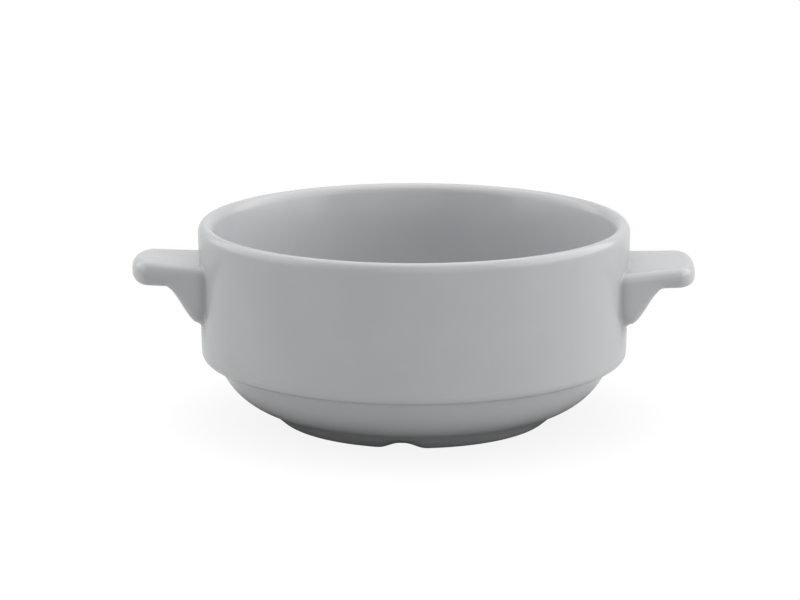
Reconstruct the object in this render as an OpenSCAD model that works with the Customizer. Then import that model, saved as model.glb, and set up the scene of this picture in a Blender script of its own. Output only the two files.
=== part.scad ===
// Small stacking soup bowl in glazed porcelain with two lug handles and a foot ring.
// Millimetres, +Z up, standing on z = 0. The handles lie along X and the front faces -Y.

/* [Bowl] */
// Diameter over the outside of the rim
rim_d = 110; // [92:1:132]
// Height from the table to the crest of the rim
bowl_h = 51; // [44:0.1:60]
// Wall thickness just below the lip
wall_t = 3.9; // [3.2:0.1:5]
// How much thicker the wall is where the inside curve begins
wall_gain = 1.4; // [0:0.1:2]
// Radius of the outer half of the rounded lip
lip_r = 2; // [1.4:0.1:2.8]
// How far the wall leans in between the lip and the shoulder
wall_lean = 0.6; // [0:0.05:2]
// Thickness of the floor
floor_t = 4; // [3:0.1:6]

/* [Stacking ledge] */
// Height of the ledge that rests on the rim of the bowl below
ledge_h = 16.05; // [14:0.05:18.5]
// Rounding of the shoulder that runs under to the ledge
shoulder_r = 2; // [1:0.1:3]
// How far the base below stands in from the wall
ledge_w = 3.9; // [3.5:0.1:6]
// Softening of the inner corner of the ledge
ledge_fillet = 0.4; // [0.3:0.1:1.2]
// Radius of the curve from the ledge to the underside
base_r = 18.2; // [15:0.2:21]

/* [Foot ring] */
// Height of the foot ring, from the table to the flat of the underside
foot_h = 3.1; // [2.4:0.1:5]
// How far the outside of the foot ring stands in from the rim, at the table
foot_inset = 21.1; // [18:0.1:26]
// How far the outer face of the foot ring leans out towards the bowl
foot_flare = 3.6; // [1.5:0.1:4.5]
// Width of the foot ring at the table
foot_w = 3.4; // [2.6:0.1:5]
// Softening of the two lower edges of the foot ring
foot_edge = 0.7; // [0.3:0.1:1.1]
// How far the slip in the corner under the bowl runs out along the base
foot_slip = 2.2; // [1:0.1:2.6]
// How far that slip runs down the foot ring
foot_slip_drop = 1.8; // [0.8:0.1:2.2]

/* [Drain notches] */
// Width of a drain notch where it meets the table
notch_w = 10.8; // [6:0.2:16]
// Height of a drain notch
notch_h = 1.15; // [0.6:0.05:1.8]
// Width of the level top of a drain notch
notch_flat = 3.2; // [1:0.2:5]
// Direction of the front notch, counted from the right handle
notch_turn = 266; // [250:1:290]

/* [Handles] */
// How far a handle stands out from the rim
handle_reach = 16.9; // [13:0.1:22]
// Drop from the crest of the rim to the handle's top at the wall
handle_drop = 10.2; // [7:0.1:13]
// How much the handle's top rises towards its tip
handle_rise = 0.9; // [0:0.1:2]
// Thickness of the grip near the tip
handle_t = 5.6; // [4.6:0.1:8]
// Width of the handle's top at the wall
handle_root_w = 29.8; // [24:0.2:36]
// Width of the handle's top at the tip, before its end is rounded
handle_tip_w = 24.6; // [18:0.2:30]
// Length over which the end of the handle is rounded in plan
handle_end = 5.2; // [3.5:0.1:8]
// Rounding of the upper edges
handle_edge = 2.2; // [1:0.1:2.4]
// How much each side draws in for each millimetre downwards
handle_draft = 0.05; // [0:0.05:0.5]
// Depth of the web under the handle, from the handle's top to the web's lower end
web_h = 14.1; // [12:0.1:18]
// How far out from the rim the hollow of the web runs into the underside of the grip
web_reach = 8.1; // [6:0.1:10]
// Rounding of the web's lower edges at the wall
web_edge = 5; // [2.5:0.1:5.5]
// Rounding of the grip's lower edges
grip_edge = 2.1; // [1:0.1:2.6]
// Reach of the slip that fills the corner around the handle's root
handle_slip = 0.8; // [0.6:0.1:2.2]
// Reach of that slip under the lower end of the web
web_slip = 2.2; // [0.8:0.1:2.6]

/* [Hidden] */
glaze = [0.74, 0.75, 0.76];
slip = [0.70, 0.71, 0.72];
// Degrees between the points of a curve in a turned profile
step = 5;
// How far a raw shape runs into its neighbour before it is cut back to it
sink = 1;
// Thickness at which the edges of a slip end
slip_land = 0.06;
// How much wider the inside curve is than one parallel to the base curve
inside_ease = 0.5;

// Turned profile of the bowl
rim_r = rim_d / 2;
shoulder_top = ledge_h + shoulder_r;
low_r = rim_r - wall_lean;
plug_r = low_r - ledge_w;
base_cz = foot_h + base_r;
base_cr = plug_r - sqrt(base_r * base_r - pow(base_cz - ledge_h, 2));
base_end = atan2(ledge_h - base_cz, plug_r - base_cr);
// Where the softened ledge corner leaves the base curve
fillet_a = base_end - ledge_fillet / base_r * 180 / PI;
lip_in_r = wall_t - lip_r;
floor_z = foot_h + floor_t;
inside_r = base_r + floor_t + inside_ease;
inside_low_r = rim_r - wall_t - wall_gain;

function arc(c, r, a0, a1) =
    let (n = ceil(abs(a1 - a0) / step))
    [for (i = [0:n]) c + r * [cos(a0 + (a1 - a0) * i / n), sin(a0 + (a1 - a0) * i / n)]];

// A softened corner: a curve from a to b that would meet its two straight sides at k
function soft(a, k, b, n = 6) =
    [for (i = [0:n]) let (t = i / n) pow(1 - t, 2) * a + 2 * t * (1 - t) * k + t * t * b];

function on_base(a) = [base_cr, base_cz] + base_r * [cos(a), sin(a)];

// Height of the underside at a radius: flat in the middle, then up along the base curve
function under_z(r) = r < base_cr ? foot_h : base_cz - sqrt(base_r * base_r - pow(r - base_cr, 2));

// Outside radius of the bowl at a height, through shoulder, wall and lip
function arc_r(r, up) = sqrt(max(0, r * r - up * up)) - r;
lip_low = bowl_h - lip_r;
function wall_r(z) =
    z < shoulder_top ? low_r + arc_r(shoulder_r, shoulder_top - z) :
    z > lip_low ? rim_r + arc_r(lip_r, z - lip_low) :
    low_r + wall_lean * (z - shoulder_top) / (lip_low - shoulder_top);

base_curve = arc([base_cr, base_cz], base_r, -90, fillet_a);
ledge_corner = soft(on_base(fillet_a), [plug_r, ledge_h], [plug_r + ledge_fillet, ledge_h]);
shoulder = arc([low_r - shoulder_r, shoulder_top], shoulder_r, -90, 0);
lip_outside = arc([rim_r - lip_r, lip_low], lip_r, 0, 90);
lip_inside = arc([rim_r - lip_r, bowl_h - lip_in_r], lip_in_r, 90, 180);
inside_curve = arc([inside_low_r - inside_r, floor_z + inside_r], inside_r, 0, -90);

// The two ends of a curve that a neighbour already gives are left out
function rest(p) = [for (i = [1:len(p) - 1]) p[i]];

outside = concat([[0, foot_h]], base_curve, rest(ledge_corner), shoulder, lip_outside);
profile = concat(outside, rest(lip_inside), inside_curve, [[0, floor_z]]);
envelope = concat(outside, [[0, bowl_h]]);

// Section of the foot ring, drawn up into the bowl and then cut to its underside
foot_d = rim_d - 2 * foot_inset;
foot_r = foot_d / 2;
foot_in_r = foot_r - foot_w;
foot_lean = foot_flare / foot_h;
foot_in_lean = foot_lean / 4;
// Where the outer face of the foot ring reaches the underside, on its flat or on the base curve
lean_sq = 1 + foot_lean * foot_lean;
from_curve = foot_r - base_cr;
half_b = from_curve * foot_lean - base_cz;
on_curve_z = (-half_b - sqrt(half_b * half_b
    - lean_sq * (from_curve * from_curve + base_cz * base_cz - base_r * base_r))) / lean_sq;
corner_z = foot_r + foot_flare < base_cr ? foot_h : on_curve_z;
corner_r = foot_r + corner_z * foot_lean;
foot_top = corner_z + sink;
foot_outer = soft([foot_r - foot_edge, 0], [foot_r, 0], [foot_r + foot_edge * foot_lean, foot_edge]);
foot_inner = soft([foot_in_r - foot_edge * foot_in_lean, foot_edge], [foot_in_r, 0],
                  [foot_in_r + foot_edge, 0]);
foot_section = concat(foot_outer, [[foot_r + foot_top * foot_lean, foot_top],
                      [foot_in_r - foot_top * foot_in_lean, foot_top]], foot_inner);

// Section of the slip in the corner between the foot ring and the bowl
slip_out_r = corner_r + foot_slip;
slip_low_z = max(foot_edge, corner_z - foot_slip_drop);
slip_on_bowl = [slip_out_r, under_z(slip_out_r) - slip_land];
slip_on_foot = [foot_r + slip_low_z * foot_lean, slip_low_z];
slip_section = concat(soft(slip_on_foot, [corner_r, corner_z], slip_on_bowl, 8),
                      [[slip_out_r, slip_on_bowl.y + sink], [foot_r - sink, slip_on_bowl.y + sink],
                       [foot_r - sink, slip_low_z]]);

// Drain notch: a level top that runs down softly to the table on both sides
function notch_z(y) =
    let (u = (abs(y) - notch_flat / 2) / (notch_w / 2 - notch_flat / 2))
    notch_h * (u < 0 ? 1 : 0.5 * (1 + cos(180 * u)));
notch_n = 28;
// How far the cutter of a notch runs past the foot ring on both sides
notch_over = 3;
notch_section = concat([for (i = [0:notch_n]) let (y = notch_w * (i / notch_n - 0.5)) [y, notch_z(y)]],
                       [[notch_w / 2, -sink], [-notch_w / 2, -sink]]);

// Handle, a loft of upright sections along X
handle_tip = rim_r + handle_reach;
handle_z = bowl_h - handle_drop;
// How far the raw handle runs into the bowl before it is cut back
handle_bury = 6;
tip_r = handle_t / 2;
grip_low = handle_z + handle_rise - handle_t;
web_low = handle_z - web_h;
arc_n = 6;
top_n = 10;
side_n = 4;
low_n = 4;

function clamp(v) = min(1, max(0, v));
function ease(t) = t * t * (3 - 2 * t);
function along(a, b, n) = [for (i = [1:n - 1]) a + (b - a) * i / n];
function turn(c, r, a0, a1) =
    [for (i = [0:arc_n]) c + r * [cos(a0 + (a1 - a0) * i / arc_n), sin(a0 + (a1 - a0) * i / arc_n)]];

// Distance along the handle, as a part of its length
function part_of(x) = (x - rim_r) / handle_reach;
// Half the height that is left of a section where the tip is rounded
function tip_left(x) = sqrt(1 - pow(clamp((x - handle_tip + tip_r) / tip_r), 2));
function full_top(x) = handle_z + handle_rise * part_of(x);
function full_low(x) = web_low + (grip_low - web_low) * ease(clamp((x - rim_r) / web_reach));
function half_w(x) =
    (handle_root_w + (handle_tip_w - handle_root_w) * part_of(x)) / 2
    * sqrt(1 - pow(clamp((x - handle_tip + handle_end) / handle_end), 2));

// A section keeps a little flat beside its edges, and its upper edges take at most a part of its height
edge_flat = 0.3;
edge_part = 0.46;

// Rounded, downward narrowing section at x, as [y, z] points counted from its top middle
function section(x) =
    let (mid = (full_top(x) + full_low(x)) / 2,
         h = (full_top(x) - full_low(x)) * tip_left(x),
         grow = clamp((h - handle_t) / (web_h - handle_t)),
         rt = min(handle_edge, edge_part * h),
         rb = min(h / 2, grip_edge + (web_edge - grip_edge) * grow),
         wt = max(half_w(x), rt + edge_flat),
         wb = max(wt - handle_draft * h, rb + edge_flat),
         ct = [wt - rt, mid + h / 2 - rt],
         cb = [wb - rb, mid - h / 2 + rb],
         d = ct - cb,
         a = atan2(d.y, d.x) - acos(min(1, max(-1, (rb - rt) / norm(d)))),
         upper = turn(ct, rt, 90, a),
         lower = turn(cb, rb, a, -90),
         top_half = along([0, mid + h / 2], upper[0], top_n / 2),
         low_half = along(lower[arc_n], [0, mid - h / 2], low_n / 2),
         side = along(upper[arc_n], lower[0], side_n),
         half = concat(top_half, upper, side, lower, low_half),
         n = len(half))
    concat([[0, mid + h / 2]], half, [[0, mid - h / 2]],
           [for (i = [n - 1:-1:0]) [-half[i].x, half[i].y]]);

// Stations: close together along the web, then spread by angle around the tip
web_n = 14;
grip_n = 5;
tip_n = 8;
// Angle around the tip at which its small end face closes it
tip_last = 80;
web_from = rim_r - 2.5;
grip_from = rim_r + web_reach + 0.6;
tip_from = handle_tip - tip_r;
stations = concat(
    [rim_r - handle_bury],
    [for (i = [0:web_n]) web_from + (grip_from - web_from) * i / web_n],
    [for (i = [1:grip_n]) grip_from + (tip_from - grip_from) * i / grip_n],
    [for (i = [1:tip_n]) tip_from + tip_r * sin(tip_last * i / tip_n)]);

// Faces between rings of points, each ring with n points
function ring_faces(rings, n) =
    [for (k = [0:rings - 2], i = [0:n - 1], side = [0, 1])
        let (j = (i + 1) % n, p = k * n, q = p + n)
        side == 0 ? [p + i, p + j, q + j] : [p + i, q + j, q + i]];

// Middle of a section, from which its end face is closed
function middle(x) = [x, 0, (full_top(x) + full_low(x)) / 2];

module lug() {
    rings = [for (x = stations) [for (p = section(x)) [x, p.x, p.y]]];
    n = len(rings[0]);
    m = len(stations);
    points = concat([for (r = rings, p = r) p], [middle(stations[0]), middle(stations[m - 1])]);
    faces = concat(ring_faces(m, n),
                   [for (i = [0:n - 1]) [m * n, (i + 1) % n, i]],
                   [for (i = [0:n - 1]) [m * n + 1, (m - 1) * n + i, (m - 1) * n + (i + 1) % n]]);
    polyhedron(points = points, faces = faces);
}

// Where the handle's side meets the wall, for point i of its section
function wall_x(p) = sqrt(pow(wall_r(p.y), 2) - p.x * p.x);
function root_x(i) = wall_x(section(wall_x(section(rim_r - 1)[i]))[i]);

// Direction straight out from a section at its point i
function away(loop, i) =
    let (n = len(loop),
         t = loop[(i + 1) % n] - loop[(i + n - 1) % n])
    [-t.y, t.x] / norm(t);

// How much fuller the slip is at point i: more where the handle's side faces down
function slip_gain(i) =
    let (down = max(0, -away(section(root_x(i)), i).y))
    1 + (web_slip / handle_slip - 1) * down * down;

// Slip around the handle's root: point i of the ring, raised by s along the handle and out by o
function slip_point(i, s, o) =
    let (gain = slip_gain(i),
         loop = section(root_x(i) + gain * s),
         p = loop[i] + gain * o * away(loop, i))
    [wall_x(p) + gain * s, p.x, p.y];

slip_n = 6;
module lug_slip() {
    n = len(section(rim_r));
    curve = [for (i = [0:slip_n]) let (t = i / slip_n)
        [handle_slip * t * t - slip_land, handle_slip * pow(1 - t, 2) + slip_land]];
    path = concat([[-sink, -sink / 2], [-sink, handle_slip + slip_land]], curve,
                  [[handle_slip - slip_land, -sink / 2]]);
    m = len(path);
    points = [for (i = [0:n - 1], c = path) slip_point(i, c.x, c.y)];
    faces = [for (i = [0:n - 1], k = [0:m - 1], side = [0, 1])
        let (j = (i + 1) % n, l = (k + 1) % m, p = i * m, q = j * m)
        side == 0 ? [p + k, p + l, q + l] : [p + k, q + l, q + k]];
    polyhedron(points = points, faces = faces);
}

// The bowl as a filled solid, to which handles and slip are cut
module bowl_envelope() {
    rotate_extrude($fn = 720) polygon(envelope);
}

module bowl_body() {
    color(glaze) rotate_extrude($fn = 180) polygon(profile);
}

module foot_ring() {
    color(glaze) difference() {
        rotate_extrude($fn = 180) difference() {
            polygon(foot_section);
            polygon(envelope);
        }
        for (turn = [notch_turn, notch_turn + 180])
            rotate([0, 0, turn])
                translate([foot_in_r - notch_over, 0, 0])
                    rotate([90, 0, 90])
                        linear_extrude(height = foot_w + 2 * notch_over) polygon(notch_section);
    }
}

module foot_ring_slip() {
    color(slip) rotate_extrude($fn = 180) difference() {
        polygon(slip_section);
        polygon(envelope);
        polygon(foot_section);
    }
}

module right_handle() {
    color(glaze) difference() {
        lug();
        bowl_envelope();
    }
}

module right_handle_slip() {
    color(slip) difference() {
        lug_slip();
        lug();
        bowl_envelope();
    }
}

module left_handle() {
    mirror([1, 0, 0]) right_handle();
}

module left_handle_slip() {
    mirror([1, 0, 0]) right_handle_slip();
}

bowl_body();
foot_ring();
foot_ring_slip();
left_handle();
left_handle_slip();
right_handle();
right_handle_slip();
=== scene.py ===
"""Stacking soup bowl in pale grey glazed porcelain, with two lug handles and a foot ring.

The sizes are in millimetres, and every mesh is made in metres. The lip, the drain notches and the lugs are
shaped a little nearer to the real bowl than in the part's source.
"""
import math

import bmesh
import bpy
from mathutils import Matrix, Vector


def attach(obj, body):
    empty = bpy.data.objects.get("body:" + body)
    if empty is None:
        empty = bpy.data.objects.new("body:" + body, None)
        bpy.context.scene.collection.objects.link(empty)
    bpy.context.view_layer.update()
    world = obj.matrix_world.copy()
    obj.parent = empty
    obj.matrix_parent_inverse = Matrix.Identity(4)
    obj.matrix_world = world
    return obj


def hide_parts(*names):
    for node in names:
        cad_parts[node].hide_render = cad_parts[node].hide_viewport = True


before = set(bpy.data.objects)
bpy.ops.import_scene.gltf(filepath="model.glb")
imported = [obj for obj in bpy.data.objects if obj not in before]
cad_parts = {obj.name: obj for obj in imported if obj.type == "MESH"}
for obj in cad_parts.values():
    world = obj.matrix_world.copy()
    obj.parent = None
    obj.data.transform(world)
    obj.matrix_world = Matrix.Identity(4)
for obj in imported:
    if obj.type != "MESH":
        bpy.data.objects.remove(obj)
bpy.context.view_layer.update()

MM = 0.001

# Bowl, with the angle at which the lip's oval passes into the inside wall
RIM_R = 55.0
BOWL_H = 51.0
WALL_T = 3.9
WALL_GAIN = 1.4
LIP_W = 1.6
LIP_DROP = 2.4
LIP_FALL = 3.0
LIP_END = 165.0
WALL_LEAN = 0.6
FLOOR_T = 4.0
INSIDE_EASE = 0.5

# Stacking ledge
LEDGE_H = 16.05
SHOULDER_R = 2.0
LEDGE_W = 3.9
LEDGE_FILLET = 0.4
BASE_R = 18.2

# Foot ring
FOOT_H = 3.1
FOOT_R = 33.9
FOOT_FLARE = 3.6
FOOT_IN_FLARE = 0.9
FOOT_W = 3.4
FOOT_EDGE = 0.7
FOOT_SLIP = 2.2
FOOT_SLIP_DROP = 1.8
INNER_SLIP = 1.1
SINK = 0.8

# Drain notches, with the angles at which they stand
NOTCH_W = 12.4
NOTCH_H = 1.4
NOTCH_FLAT = 0.8
NOTCH_TURNS = (266.0, 86.0)

# Lug handles: the drafts and the lean are slopes, the flare and the tip's fullness powers
LUG_REACH = 16.9
LUG_DROP = 10.4
LUG_RISE = 1.1
GRIP_T = 5.6
ROOT_W = 31.8
TIP_W = 24.6
FLARE = 1.5
END_ROUND = 5.2
UPPER_EDGE = 2.4
DRAFT = 0.05
TIP_DRAFT = 0.0
TIP_FULLNESS = 0.85
WEB_H = 13.9
WEB_REACH = 8.1
WEB_EDGE = 5.0
GRIP_EDGE = 2.1
TOP_LEAN = 0.06
WEB_LIFT = 0.75
TIP_PRESS = 0.45
LUG_SLIP = 0.2
WEB_SLIP = 2.2

# How far the painted shade reaches out of a corner: on a lug, on the wall round it and in the ledge's
# crease
LUG_SHADE_REACH = 1.6
WALL_SHADE_REACH = 2.0
LEDGE_SHADE_REACH = 0.6

# Fineness of the meshes: an arc's step in degrees, and how many stretches a line has
ARC_STEP = 3.0
CORNER_STEPS = 10
BODY_STEPS = 360
FLAT_STEPS = 10
LEDGE_STEPS = 3
SHOULDER_STEPS = 15
WALL_STEPS = 40
INSIDE_STEPS = 16
FOOT_STEPS = 432
FOOT_SLIP_STEPS = 14
FOOT_FACE_STEPS = 3
FOOT_UNDER_STEPS = 5
FOOT_INSIDE_STEPS = 4
EDGE_STEPS = 11
SIDE_STEPS = 8
TOP_STEPS = 8
LOW_STEPS = 5
FILLET_RINGS = 8
GRIP_RINGS = 36
TIP_RINGS = 24

# Points nearer than this are one, in a line and in a finished mesh
SAME_POINT = 0.000001
WELD = 0.002

# How deep a fillet's first ring is tucked into the wall, as a share of the fillet's size,
# and how far inside the rim the search for a lug's root begins
FILLET_TUCK = 0.004
ROOT_GUESS = 1.0

# Values that follow from the sizes
LOW_R = RIM_R - WALL_LEAN
PLUG_R = LOW_R - LEDGE_W
SHOULDER_TOP = LEDGE_H + SHOULDER_R
LIP_LOW = BOWL_H - LIP_DROP
LIP_CREST = RIM_R - LIP_W
BASE_CZ = FOOT_H + BASE_R
BASE_CR = PLUG_R - math.sqrt(BASE_R ** 2 - (BASE_CZ - LEDGE_H) ** 2)
FLOOR_Z = FOOT_H + FLOOR_T
INSIDE_R = BASE_R + FLOOR_T + INSIDE_EASE
INSIDE_LOW_R = RIM_R - WALL_T - WALL_GAIN
LUG_TIP = RIM_R + LUG_REACH
LUG_TOP = BOWL_H - LUG_DROP
LUG_END = LUG_TIP - END_ROUND
GRIP_LOW = LUG_TOP + LUG_RISE - GRIP_T
WEB_LOW = LUG_TOP - WEB_H
LEAN_PIVOT = TIP_W / 3


def clamp(value):
    return min(1.0, max(0.0, value))


def ease(t):
    return t * t * (3 - 2 * t)


def arc(centre, radius, start, end, count=None):
    """Points along an arc, from one angle in degrees to another."""
    count = count or math.ceil(abs(end - start) / ARC_STEP)
    angles = [math.radians(start + (end - start) * i / count) for i in range(count + 1)]
    return [(centre[0] + radius * math.cos(a), centre[1] + radius * math.sin(a)) for a in angles]


def oval(centre, width, height, start, end):
    """Points along a part of an upright oval, given by its half width and half height."""
    return [(centre[0] + width * x, centre[1] + height * z) for x, z in arc((0, 0), 1, start, end)]


def soft_corner(start, corner, end, count=CORNER_STEPS):
    """A softened corner, from start to end, whose sides would meet at corner."""
    points = []
    for i in range(count + 1):
        t = i / count
        weights = ((1 - t) ** 2, 2 * t * (1 - t), t * t)
        points.append(tuple(sum(w * p[k] for w, p in zip(weights, (start, corner, end))) for k in (0, 1)))
    return points


def straight(start, end, count):
    """Points along a straight stretch, both ends among them."""
    return [tuple(a + (b - a) * i / count for a, b in zip(start, end)) for i in range(count + 1)]


def joined(*stretches):
    """One line out of several stretches, with each shared point once."""
    line = []
    for stretch in stretches:
        for point in stretch:
            if not line or math.dist(line[-1], point) > SAME_POINT:
                line.append(point)
    return line


def under_z(r):
    """Height of the underside: flat in the middle, then up along the base curve."""
    return FOOT_H if r < BASE_CR else BASE_CZ - math.sqrt(BASE_R ** 2 - (r - BASE_CR) ** 2)


def wall_r(z):
    """Outside radius of the bowl at a height, through shoulder, wall and lip."""
    if z < SHOULDER_TOP:
        return LOW_R - SHOULDER_R + math.sqrt(max(0, SHOULDER_R ** 2 - (SHOULDER_TOP - z) ** 2))
    if z > LIP_LOW:
        return LIP_CREST + LIP_W * math.sqrt(max(0, 1 - ((z - LIP_LOW) / LIP_DROP) ** 2))
    return LOW_R + WALL_LEAN * (z - SHOULDER_TOP) / (LIP_LOW - SHOULDER_TOP)


# Modelling steps that several pieces share

def start_point(name, place):
    """Begins a piece as a single point: a small plane, welded to its middle and moved into place."""
    bpy.ops.object.select_all(action="DESELECT")
    bpy.ops.mesh.primitive_plane_add(size=MM)
    piece = bpy.context.object
    piece.name = piece.data.name = name
    bpy.ops.object.mode_set(mode="EDIT")
    bpy.ops.mesh.select_all(action="SELECT")
    bpy.ops.mesh.merge(type="CENTER")
    bpy.ops.mesh.select_all(action="SELECT")
    bpy.ops.transform.translate(value=Vector(place) * MM)
    return piece


def draw_line(points):
    """Draws the started point out along the rest of a profile of (radius, height) points."""
    for before, after in zip(points, points[1:]):
        move = Vector((after[0] - before[0], 0, after[1] - before[1])) * MM
        bpy.ops.mesh.extrude_vertices_move(TRANSFORM_OT_translate={"value": move})


def turn_round(steps):
    """Turns the whole line once round the upright axis, as on a wheel."""
    bpy.ops.mesh.select_all(action="SELECT")
    bpy.ops.mesh.spin(steps=steps, angle=2 * math.pi, center=(0, 0, 0), axis=(0, 0, 1))


def finish_mesh(piece):
    """Welds the seam and the poles, points the faces outwards and shades them smooth."""
    bpy.ops.mesh.select_all(action="SELECT")
    bpy.ops.mesh.remove_doubles(threshold=WELD * MM)
    bpy.ops.mesh.select_all(action="SELECT")
    bpy.ops.mesh.normals_make_consistent(inside=False)
    bpy.ops.mesh.select_all(action="DESELECT")
    bpy.ops.object.mode_set(mode="OBJECT")
    bpy.ops.object.shade_smooth()
    return piece


# Body

def body_profile():
    """Section of the bowl, from the middle of its underside round the lip to the middle of its floor."""
    base_end = math.degrees(math.atan2(LEDGE_H - BASE_CZ, PLUG_R - BASE_CR))
    leave = base_end - math.degrees(LEDGE_FILLET / BASE_R)
    base = arc((BASE_CR, BASE_CZ), BASE_R, -90, leave)
    ledge_end = (LOW_R - SHOULDER_R, LEDGE_H)
    wall_low, wall_top = (LOW_R, SHOULDER_TOP), (RIM_R, LIP_LOW)
    lip_inside = oval((LIP_CREST, BOWL_H - LIP_FALL), WALL_T - LIP_W, LIP_FALL, 90, LIP_END)
    lean = (WALL_T - LIP_W) / LIP_FALL * math.tan(math.radians(180 - LIP_END))
    inner_low = (INSIDE_LOW_R, FLOOR_Z + INSIDE_R)
    inner_knee = (INSIDE_LOW_R, lip_inside[-1][1] - (lip_inside[-1][0] - INSIDE_LOW_R) / lean)
    floor_edge = INSIDE_LOW_R - INSIDE_R
    return joined(
        straight((0, FOOT_H), base[0], FLAT_STEPS),
        base,
        soft_corner(base[-1], (PLUG_R, LEDGE_H), (PLUG_R + LEDGE_FILLET, LEDGE_H)),
        straight((PLUG_R + LEDGE_FILLET, LEDGE_H), ledge_end, LEDGE_STEPS),
        arc((LOW_R - SHOULDER_R, SHOULDER_TOP), SHOULDER_R, -90, 0, SHOULDER_STEPS),
        straight(wall_low, wall_top, WALL_STEPS),
        oval((LIP_CREST, LIP_LOW), LIP_W, LIP_DROP, 0, 90),
        lip_inside,
        soft_corner(lip_inside[-1], inner_knee, inner_low, INSIDE_STEPS),
        arc((floor_edge, FLOOR_Z + INSIDE_R), INSIDE_R, 0, -90),
        straight((floor_edge, FLOOR_Z), (0, FLOOR_Z), FLAT_STEPS))


def turn_body():
    profile = body_profile()
    piece = start_point("glazed_body", (profile[0][0], 0, profile[0][1]))
    draw_line(profile)
    turn_round(BODY_STEPS)
    return finish_mesh(piece)


# Foot ring

def foot_corner(lean):
    """Where the leaning outer face of the foot would meet the base curve."""
    square = 1 + lean ** 2
    off_centre = FOOT_R - BASE_CR
    half = off_centre * lean - BASE_CZ
    z = (-half - math.sqrt(half ** 2 - square * (off_centre ** 2 + BASE_CZ ** 2 - BASE_R ** 2))) / square
    return (FOOT_R + z * lean, z)


def foot_profile():
    """Closed section of the foot ring with the glazed fillets on both sides, its top sunk into the base."""
    lean = FOOT_FLARE / FOOT_H
    in_lean = FOOT_IN_FLARE / FOOT_H
    in_r = FOOT_R - FOOT_W
    corner = foot_corner(lean)
    slip_out = corner[0] + FOOT_SLIP
    on_base = (slip_out, under_z(slip_out))
    on_face_z = corner[1] - FOOT_SLIP_DROP
    on_face = (FOOT_R + on_face_z * lean, on_face_z)
    edge_out = (FOOT_R + FOOT_EDGE * lean, FOOT_EDGE)
    edge_in = (in_r - FOOT_EDGE * in_lean, FOOT_EDGE)
    in_corner = (in_r - FOOT_H * in_lean, FOOT_H)
    in_face_z = FOOT_H - INNER_SLIP
    in_face = (in_r - in_face_z * in_lean, in_face_z)
    in_base = (in_corner[0] - INNER_SLIP, FOOT_H)
    return joined(
        soft_corner(on_base, corner, on_face, FOOT_SLIP_STEPS),
        straight(on_face, edge_out, FOOT_FACE_STEPS),
        soft_corner(edge_out, (FOOT_R, 0), (FOOT_R - FOOT_EDGE, 0)),
        straight((FOOT_R - FOOT_EDGE, 0), (in_r + FOOT_EDGE, 0), FOOT_UNDER_STEPS),
        soft_corner((in_r + FOOT_EDGE, 0), (in_r, 0), edge_in),
        straight(edge_in, in_face, FOOT_INSIDE_STEPS),
        soft_corner(in_face, in_corner, in_base),
        [(in_base[0], FOOT_H + SINK), (BASE_CR, FOOT_H + SINK), (corner[0], corner[1] + SINK),
         (slip_out, on_base[1] + SINK), on_base])


def notch_z(y):
    """Height of a drain notch at a distance from its middle: level, then softly down to the table."""
    side = (abs(y) - NOTCH_FLAT / 2) / (NOTCH_W / 2 - NOTCH_FLAT / 2)
    return NOTCH_H * (1 if side < 0 else 0.5 * (1 + math.cos(math.pi * min(1, side))))


def press_notches(piece):
    """Presses the drain notches up into the foot, most at the table and not at all at the base."""
    for turn in NOTCH_TURNS:
        along = Vector((math.cos(math.radians(turn)), math.sin(math.radians(turn)), 0))
        across = Vector((-along.y, along.x, 0))
        for vertex in piece.data.vertices:
            up = vertex.co.z / MM
            if vertex.co.dot(along) > 0 and up < FOOT_H:
                vertex.co.z += notch_z(vertex.co.dot(across) / MM) * (1 - up / FOOT_H) * MM


def turn_foot():
    profile = foot_profile()
    piece = start_point("foot_ring_glazed", (profile[0][0], 0, profile[0][1]))
    draw_line(profile)
    turn_round(FOOT_STEPS)
    finish_mesh(piece)
    press_notches(piece)
    return piece


# Lug handles

def lug_half_width(x):
    """Half the width of the lug, which flares towards the wall."""
    return (TIP_W + (ROOT_W - TIP_W) * (max(0, LUG_TIP - x) / LUG_REACH) ** FLARE) / 2


def lug_top(x):
    """Height of the lug's top face, which rises a little towards the tip."""
    return LUG_TOP + LUG_RISE * (x - RIM_R) / LUG_REACH


def lug_low(x):
    """Underside of the lug: the web's hollow, which runs out into the grip."""
    return WEB_LOW + (GRIP_LOW - WEB_LOW) * ease(clamp((x - RIM_R) / WEB_REACH))


def lug_edge(x, draft):
    """Rounded edge of the lug from its top face to its underside, as (distance inside the outline, z)."""
    top, low = lug_top(x), lug_low(x)
    grow = clamp((top - low - GRIP_T) / (WEB_H - GRIP_T))
    lower_r = GRIP_EDGE + (WEB_EDGE - GRIP_EDGE) * grow
    upper = (-UPPER_EDGE, top - UPPER_EDGE)
    lower = (-lower_r - draft * (top - low), low + lower_r)
    across, up = upper[0] - lower[0], upper[1] - lower[1]
    lean = math.degrees(math.atan2(up, across) - math.acos((lower_r - UPPER_EDGE) / math.hypot(across, up)))
    upper_arc = arc(upper, UPPER_EDGE, 90, lean, EDGE_STEPS)
    lower_arc = arc(lower, lower_r, lean, -90, EDGE_STEPS)
    side = straight(upper_arc[-1], lower_arc[0], SIDE_STEPS)[1:-1]
    return [(-out, z) for out, z in upper_arc + side + lower_arc]


def ring_of(top, edge, low):
    """Closed ring out of its top middle, one rounded edge and its low middle."""
    half = straight(top, edge[0], TOP_STEPS)[1:-1] + edge + straight(edge[-1], low, LOW_STEPS)[1:-1]
    return [top, *half, low, *[(x, -y, z) for x, y, z in reversed(half)]]


def lug_ring(x):
    """Upright ring of the lug, as (x, y, z) points from its top middle round."""
    edge = [(x, lug_half_width(x) - inside, z) for inside, z in lug_edge(x, DRAFT)]
    return ring_of((x, 0, lug_top(x)), edge, (x, 0, lug_low(x)))


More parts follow.
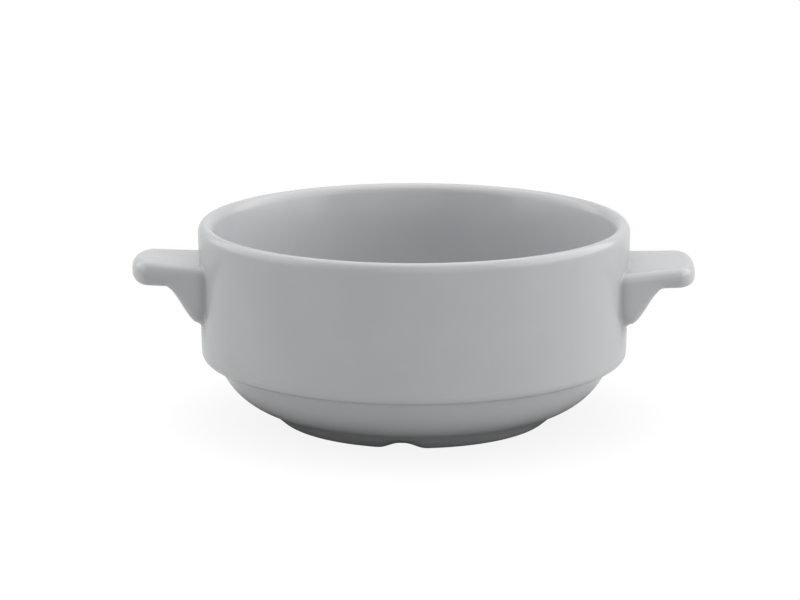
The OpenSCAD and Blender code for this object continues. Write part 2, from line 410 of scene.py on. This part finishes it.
def tip_ring(turn):
    """Ring that swings round the tip: at no turn the last upright one, at 90 degrees along the middle."""
    ahead = math.sin(math.radians(turn)) ** TIP_FULLNESS
    aside = max(0, math.cos(math.radians(turn))) ** TIP_FULLNESS
    share = math.sin(math.radians(turn)) ** 2
    top, low = lug_top(LUG_END), lug_low(LUG_END)
    edge = []
    for (side_in, side_z), (end_in, end_z) in zip(lug_edge(LUG_END, DRAFT), lug_edge(LUG_END, TIP_DRAFT)):
        x = LUG_END + (END_ROUND - end_in) * ahead
        z = side_z + (end_z - side_z) * share
        rise = (lug_top(x) - top) * (z - low) / (top - low)
        edge.append((x, (lug_half_width(x) - side_in) * aside, z + rise))
    return ring_of((LUG_END, 0, top), edge, (LUG_END, 0, low))


def wall_x(y, z):
    """How far out along the handle the wall stands."""
    return math.sqrt(wall_r(z) ** 2 - y * y)


def away(loop, i):
    """Direction straight out from an upright ring at one of its points, as (y, z)."""
    along = (Vector(loop[(i + 1) % len(loop)]) - Vector(loop[i - 1])).normalized()
    return -along.z, along.y


def root_ring(rise, out):
    """Ring of the fillet round the lug's root: so far out from the wall, and so far off the lug's side."""
    ring = []
    for i, start in enumerate(lug_ring(RIM_R - ROOT_GUESS)):
        root = wall_x(*lug_ring(wall_x(*start[1:]))[i][1:])
        down = max(0, -away(lug_ring(root), i)[1])
        reach = LUG_SLIP + (WEB_SLIP - LUG_SLIP) * down ** 2
        loop = lug_ring(root + reach * rise)
        off_y, off_z = away(loop, i)
        y, z = loop[i][1] + reach * out * off_y, loop[i][2] + reach * out * off_z
        ring.append((wall_x(y, z) + reach * rise, y, z))
    return ring


def lug_rings():
    """Rings of points from inside the wall, up the fillet, along the web and grip and round the tip."""
    fillet = []
    for k in range(FILLET_RINGS + 1):
        t = k / FILLET_RINGS
        fillet.append(root_ring(t ** 2 - FILLET_TUCK, (1 - t) ** 2))
    buried = [(x - SINK, y, z) for x, y, z in fillet[0]]
    rings = [buried, *fillet]
    starts = [x for x, y, z in fillet[-1]]
    for k in range(1, GRIP_RINGS + 1):
        xs = [x0 + (LUG_END - x0) * k / GRIP_RINGS for x0 in starts]
        rings.append([lug_ring(x)[i] for i, x in enumerate(xs)])
    for k in range(1, TIP_RINGS + 1):
        rings.append(tip_ring(90 * k / TIP_RINGS))
    return rings


SEAT = "seat"


def place_ring(piece, ring):
    """Moves the selected ring's points to their places; each point knows its seat on the ring."""
    mesh = bmesh.from_edit_mesh(piece.data)
    layer = mesh.verts.layers.int[SEAT]
    for vertex in mesh.verts:
        if vertex.select:
            vertex.co = Vector(ring[vertex[layer]]) * MM
    bmesh.update_edit_mesh(piece.data)


def draw_lug(name):
    """Draws the right lug out of a circle inside the wall, ring by ring to its tip."""
    rings = lug_rings()
    bpy.ops.object.select_all(action="DESELECT")
    bpy.ops.mesh.primitive_circle_add(vertices=len(rings[0]), radius=ROOT_W / 2 * MM, fill_type="NGON")
    piece = bpy.context.object
    piece.name = piece.data.name = name
    numbers = piece.data.attributes.new(SEAT, "INT", "POINT")
    for i, number in enumerate(numbers.data):
        number.value = i
    bpy.ops.object.mode_set(mode="EDIT")
    bpy.ops.mesh.select_all(action="SELECT")
    place_ring(piece, rings[0])
    for ring in rings[1:]:
        bpy.ops.mesh.extrude_region_move()
        place_ring(piece, ring)
    bpy.ops.mesh.delete(type="ONLY_FACE")
    finish_mesh(piece)
    piece.data.attributes.remove(piece.data.attributes[SEAT])
    return piece


def shape_left(piece):
    """The left lug as it was set by hand: the front edge of its top a little higher, its web slimmer."""
    for vertex in piece.data.vertices:
        x, y, z = vertex.co / MM
        up = clamp((z - lug_low(x)) / (lug_top(x) - lug_low(x)))
        hollow = math.sin(math.pi * clamp((x - RIM_R) / WEB_REACH))
        vertex.co.z += (TOP_LEAN * (LEAN_PIVOT - y) * up + WEB_LIFT * hollow * (1 - up)) * MM


def shape_right(piece):
    """The right lug as it was made by hand: its tip pressed back a little, down to its lower edge."""
    for vertex in piece.data.vertices:
        x, _, z = vertex.co / MM
        past = clamp((x - LUG_END) / END_ROUND)
        up = clamp((z - GRIP_LOW) / (GRIP_T / 2))
        vertex.co.x -= TIP_PRESS * past ** 2 * up * MM


def mirrored(piece, name):
    """A copy of the right lug on the other side of the bowl, with a mesh and a shape of its own."""
    bpy.ops.object.select_all(action="DESELECT")
    piece.select_set(True)
    bpy.context.view_layer.objects.active = piece
    bpy.ops.object.duplicate(linked=False)
    copy = bpy.context.object
    copy.name = copy.data.name = name
    shape_left(copy)
    bpy.ops.object.mode_set(mode="EDIT")
    bpy.ops.mesh.select_all(action="SELECT")
    bpy.ops.transform.resize(value=(-1, 1, 1), center_override=(0, 0, 0))
    return finish_mesh(copy)


# Painted shade: the glaze colour darker in the corners where shade falls, round and under the lugs and in
# the ledge's crease

SHADE_ATTRIBUTE = "painted_shade"


def shade_falloff(distance, reach):
    """Share of painted shade: one in the corner itself, falling off softly to none beyond the reach."""
    return math.exp(-(distance / reach) ** 2)


def below_top(x, z):
    """None at the height of a lug's top face, one below its rounded edge."""
    return clamp((lug_top(x) - z) / UPPER_EDGE)


def from_stretch(point, start, end):
    """Distance of a point from a straight stretch."""
    along = end - start
    share = clamp((point - start).dot(along) / along.length_squared)
    return (point - start - along * share).length


def lug_outline():
    """Where a lug's root lies on the wall, as the stretches of a closed line of (y, z) points."""
    ring = [Vector(point[1:]) for point in root_ring(0, 1)]
    return list(zip(ring, ring[1:] + ring[:1]))


def body_painted_shade():
    """Tells how much painted shade a point of the bowl gets: in the ledge's corner, and round the lugs
    below their tops.
    """
    outline = lug_outline()

    def shade_at(x, y, z):
        r = math.hypot(x, y)
        ledge_shade = shade_falloff(math.dist((r, z), (PLUG_R, LEDGE_H)), LEDGE_SHADE_REACH)
        far_from_lugs = r < LIP_CREST or z < SHOULDER_TOP or abs(y) > ROOT_W
        if far_from_lugs:
            return ledge_shade
        off = min(from_stretch(Vector((y, z)), *stretch) for stretch in outline)
        return max(ledge_shade, shade_falloff(off, WALL_SHADE_REACH) * below_top(abs(x), z))

    return shade_at


def lug_painted_shade(x, y, z):
    """Painted shade at a point of the right lug, towards the wall and below its top."""
    return shade_falloff(max(0, x - wall_x(y, z)), LUG_SHADE_REACH) * below_top(x, z)


def mark_painted_shade(piece, shade_at):
    """Notes on each point of a piece how much painted shade it gets."""
    shades = piece.data.attributes.new(SHADE_ATTRIBUTE, "FLOAT", "POINT")
    for vertex, painted_shade in zip(piece.data.vertices, shades.data):
        painted_shade.value = shade_at(*(vertex.co / MM))
    return piece


# Glaze and clay

GLAZE_THIN = (0.464, 0.474, 0.482)
GLAZE_THICK = (0.438, 0.450, 0.459)
# Colour of the deepest painted shade in the corners, mixed into the glaze
GLAZE_PAINTED_SHADE = (0.335, 0.344, 0.352)
GLAZE_ROUGHNESS = (0.18, 0.26)
GLAZE_IOR = 1.45
CLAY_DARK = (0.50, 0.49, 0.46)
CLAY_PALE = (0.62, 0.61, 0.58)
CLAY_ROUGHNESS = (0.7, 0.9)

# Patterns of glaze and clay: how many to the metre, and how much detail
GLAZE_CLOUDS = (55, 4)
GLOSS_PATCHES = (120, 3)
ORANGE_PEEL = (420, 2)
CLAY_CLOUDS = (900, 5)
CLAY_PATCHES = (500, 3)
CLAY_GRAIN = (2500, 3)
PEEL_HEIGHT = 0.004
GRAIN_HEIGHT = 0.02

# The part of a pattern's values that it mostly keeps to
PATTERN_LOW = 0.3
PATTERN_HIGH = 0.7

# Sockets of a mix node, several of which share a name
MIX_SHARE = 0
MIX_NUMBERS = (2, 3)
MIX_COLOURS = (6, 7)
MIXED_NUMBER = 0
MIXED_COLOUR = 2


def new_material(name):
    material = bpy.data.materials.new(name)
    material.use_nodes = True
    tree = material.node_tree
    return material, tree, tree.nodes["Principled BSDF"]


def noise(tree, scale, detail):
    """Noise on the piece's own coordinates, in metres."""
    place = tree.nodes.new("ShaderNodeTexCoord")
    node = tree.nodes.new("ShaderNodeTexNoise")
    node.inputs["Scale"].default_value = scale
    node.inputs["Detail"].default_value = detail
    tree.links.new(place.outputs["Object"], node.inputs["Vector"])
    return node.outputs["Fac"]


def ramp(tree, value, low, high, start=PATTERN_LOW, end=PATTERN_HIGH):
    """Carries a value between start and end over to a colour between low and high."""
    node = tree.nodes.new("ShaderNodeValToRGB")
    node.color_ramp.elements[0].position = start
    node.color_ramp.elements[1].position = end
    node.color_ramp.elements[0].color = (*low, 1)
    node.color_ramp.elements[1].color = (*high, 1)
    tree.links.new(value, node.inputs["Fac"])
    return node.outputs["Color"]


def spread(tree, value, low, high, start=PATTERN_LOW, end=PATTERN_HIGH):
    """Carries a value between start and end over to a number between low and high."""
    node = tree.nodes.new("ShaderNodeMapRange")
    for socket, number in zip(("From Min", "From Max", "To Min", "To Max"), (start, end, low, high)):
        node.inputs[socket].default_value = number
    tree.links.new(value, node.inputs["Value"])
    return node.outputs["Result"]


def ripple(tree, value, height):
    """A faint unevenness of the surface, of a height in millimetres."""
    node = tree.nodes.new("ShaderNodeBump")
    node.inputs["Strength"].default_value = 1.0
    node.inputs["Distance"].default_value = height * MM
    tree.links.new(value, node.inputs["Height"])
    return node.outputs["Normal"]


def with_painted_shade(tree, colour):
    """The colour, darkened by painted shade in the corners."""
    painted_shade = tree.nodes.new("ShaderNodeAttribute")
    painted_shade.attribute_name = SHADE_ATTRIBUTE
    node = tree.nodes.new("ShaderNodeMix")
    node.data_type = "RGBA"
    plain, deepest_shade = (node.inputs[i] for i in MIX_COLOURS)
    tree.links.new(painted_shade.outputs["Fac"], node.inputs[MIX_SHARE])
    tree.links.new(colour, plain)
    deepest_shade.default_value = (*GLAZE_PAINTED_SHADE, 1)
    return node.outputs[MIXED_COLOUR]


def make_glaze(name):
    """Pale grey glaze: clouds of slightly varying depth, painted shade in the corners, and a fine orange
    peel in the gloss.
    """
    material, tree, shader = new_material(name)
    clouds = ramp(tree, noise(tree, *GLAZE_CLOUDS), GLAZE_THICK, GLAZE_THIN)
    patches = spread(tree, noise(tree, *GLOSS_PATCHES), *GLAZE_ROUGHNESS)
    peel = ripple(tree, noise(tree, *ORANGE_PEEL), PEEL_HEIGHT)
    tree.links.new(with_painted_shade(tree, clouds), shader.inputs["Base Color"])
    tree.links.new(patches, shader.inputs["Roughness"])
    tree.links.new(peel, shader.inputs["Normal"])
    shader.inputs["IOR"].default_value = GLAZE_IOR
    return material


def make_biscuit(name):
    """Bare fired clay under the foot, dry and fine-grained."""
    material, tree, shader = new_material(name)
    clouds = ramp(tree, noise(tree, *CLAY_CLOUDS), CLAY_DARK, CLAY_PALE)
    patches = spread(tree, noise(tree, *CLAY_PATCHES), *CLAY_ROUGHNESS)
    grain = ripple(tree, noise(tree, *CLAY_GRAIN), GRAIN_HEIGHT)
    tree.links.new(clouds, shader.inputs["Base Color"])
    tree.links.new(patches, shader.inputs["Roughness"])
    tree.links.new(grain, shader.inputs["Normal"])
    return material


# Stage, light and camera

# Floor: its size and the reach of the shadow under the bowl in metres, its gap in millimetres
FLOOR_SIZE = 8
SHADOW_REACH = 0.02
FLOOR_GAP = 0.02
FLOOR_PAINT = 0.65

# How white the floor is from close under the bowl to the open, in the gloss and for the camera
WHITE_IN_GLOSS = (0.0, 0.85)
WHITE_SEEN = (0.88, 1.0)
OPENNESS_IN_GLOSS = (0.25, 0.85)
OPENNESS_SEEN = (0.0, 1.0)

# How bright the studio all round is, as light on the bowl and where it shows or is mirrored
AMBIENT = 0.07
BACKDROP = 0.75


def most(tree, first, second):
    """The greater of two values."""
    node = tree.nodes.new("ShaderNodeMath")
    node.operation = "MAXIMUM"
    tree.links.new(first, node.inputs[0])
    tree.links.new(second, node.inputs[1])
    return node.outputs[0]


def blend(tree, share, first, second):
    """The first value where the share is none, the second where it is one."""
    node = tree.nodes.new("ShaderNodeMix")
    for i, value in zip((MIX_SHARE, *MIX_NUMBERS), (share, first, second)):
        tree.links.new(value, node.inputs[i])
    return node.outputs[MIXED_NUMBER]


def shown(tree, path):
    """One on the light paths that show the background: seen, in gloss or through glass."""
    seen = most(tree, path.outputs["Is Camera Ray"], path.outputs["Is Glossy Ray"])
    return most(tree, seen, path.outputs["Is Transmission Ray"])


def make_floor_finish():
    """White floor that keeps the shadow close under the bowl, only faintly for the camera."""
    material = bpy.data.materials.new("studio_floor")
    material.use_nodes = True
    tree = material.node_tree
    tree.nodes.clear()
    path = tree.nodes.new("ShaderNodeLightPath")
    near = tree.nodes.new("ShaderNodeAmbientOcclusion")
    paint = tree.nodes.new("ShaderNodeBsdfDiffuse")
    white = tree.nodes.new("ShaderNodeEmission")
    mix = tree.nodes.new("ShaderNodeMixShader")
    out = tree.nodes.new("ShaderNodeOutputMaterial")
    near.inputs["Distance"].default_value = SHADOW_REACH
    paint.inputs["Color"].default_value = (FLOOR_PAINT, FLOOR_PAINT, FLOOR_PAINT, 1)
    shaded = spread(tree, near.outputs["AO"], *WHITE_IN_GLOSS, *OPENNESS_IN_GLOSS)
    faint = spread(tree, near.outputs["AO"], *WHITE_SEEN, *OPENNESS_SEEN)
    tree.links.new(blend(tree, path.outputs["Is Camera Ray"], shaded, faint), white.inputs["Strength"])
    tree.links.new(shown(tree, path), mix.inputs[0])
    tree.links.new(paint.outputs[0], mix.inputs[1])
    tree.links.new(white.outputs[0], mix.inputs[2])
    tree.links.new(mix.outputs[0], out.inputs["Surface"])
    return material


def lay_floor():
    bpy.ops.object.select_all(action="DESELECT")
    bpy.ops.mesh.primitive_plane_add(size=FLOOR_SIZE, location=(0, 0, -FLOOR_GAP * MM))
    floor = bpy.context.object
    floor.name = "floor"
    floor.data.materials.append(make_floor_finish())


def set_world():
    """Plain, even light from all round, and a white studio where it shows or is mirrored."""
    world = bpy.data.worlds.new("studio")
    bpy.context.scene.world = world
    world.use_nodes = True
    tree = world.node_tree
    background = tree.nodes["Background"]
    background.inputs["Color"].default_value = (1, 1, 1, 1)
    seen = shown(tree, tree.nodes.new("ShaderNodeLightPath"))
    tree.links.new(spread(tree, seen, AMBIENT, BACKDROP, start=0, end=1), background.inputs["Strength"])


# Each lamp: its place, its width and height in metres, and its power in watts
LAMPS = {
    "top_softbox": ((0.0, 0.10, 1.10), (1.6, 1.6), 14.6),
    "left_panel": ((-1.15, 0.15, 0.65), (2.0, 1.1), 11.5),
    "right_panel": ((1.15, 0.05, 0.65), (2.0, 1.1), 16.8),
    "front_panel": ((0.35, -1.40, 0.55), (1.6, 0.9), 2.5),
}
LAMP_TARGET = Vector((0, 0, 0.03))


def hang_lamps():
    for name, (place, size, power) in LAMPS.items():
        bpy.ops.object.light_add(type="AREA", location=place)
        lamp = bpy.context.object
        lamp.name = lamp.data.name = name
        lamp.data.shape = "RECTANGLE"
        lamp.data.size, lamp.data.size_y = size
        lamp.data.energy = power
        lamp.rotation_euler = (LAMP_TARGET - lamp.location).to_track_quat("-Z", "Y").to_euler()
        lamp.visible_camera = False


CAMERA_AT = Vector((0.0135, -0.7744, 0.2012))
LOOK_AT = Vector((-0.0035, -0.0038, 0.0311))
LENS = 139.3
SENSOR = 36


def set_camera():
    bpy.ops.object.camera_add(location=CAMERA_AT)
    camera = bpy.context.object
    camera.rotation_euler = (LOOK_AT - CAMERA_AT).to_track_quat("-Z", "Y").to_euler()
    camera.data.sensor_fit = "HORIZONTAL"
    camera.data.sensor_width = SENSOR
    camera.data.lens = LENS
    bpy.context.scene.camera = camera


# The whole scene

# Faces that stand on the table: how far they face down, and how near it they lie in millimetres
FACING_DOWN = -0.95
NEAR_TABLE = 0.06


def dress(piece, material_slot, nodes, *materials):
    """Gives a finished piece its materials and its body, and hides the CAD nodes that it stands for."""
    piece.data.materials.clear()
    for material in materials:
        piece.data.materials.append(material)
    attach(piece, "root")
    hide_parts(*nodes)


def bare_foot_faces(piece):
    """The faces that stand on the table are bare clay."""
    for face in piece.data.polygons:
        if face.normal.z < FACING_DOWN and face.center.z < NEAR_TABLE * MM:
            face.material_index = 1


def build():
    body_glaze = make_glaze("body_glaze")
    handle_glaze = make_glaze("handle_glaze")
    foot_glaze = make_glaze("foot_glaze")
    biscuit = make_biscuit("bare_biscuit")
    body = mark_painted_shade(turn_body(), body_painted_shade())
    dress(body, "body_glaze", ["bowl_body"], body_glaze)
    foot = turn_foot()
    dress(foot, "foot_glaze", ["foot_ring", "foot_ring_slip"], foot_glaze, biscuit)
    bare_foot_faces(foot)
    right = mark_painted_shade(draw_lug("right_lug"), lug_painted_shade)
    left = mirrored(right, "left_lug")
    shape_right(right)
    dress(right, "handle_glaze", ["right_handle", "right_handle_slip"], handle_glaze)
    dress(left, "handle_glaze", ["left_handle", "left_handle_slip"], handle_glaze)


build()
lay_floor()
set_world()
hang_lamps()
set_camera()
bpy.context.scene.view_settings.view_transform = "Standard"
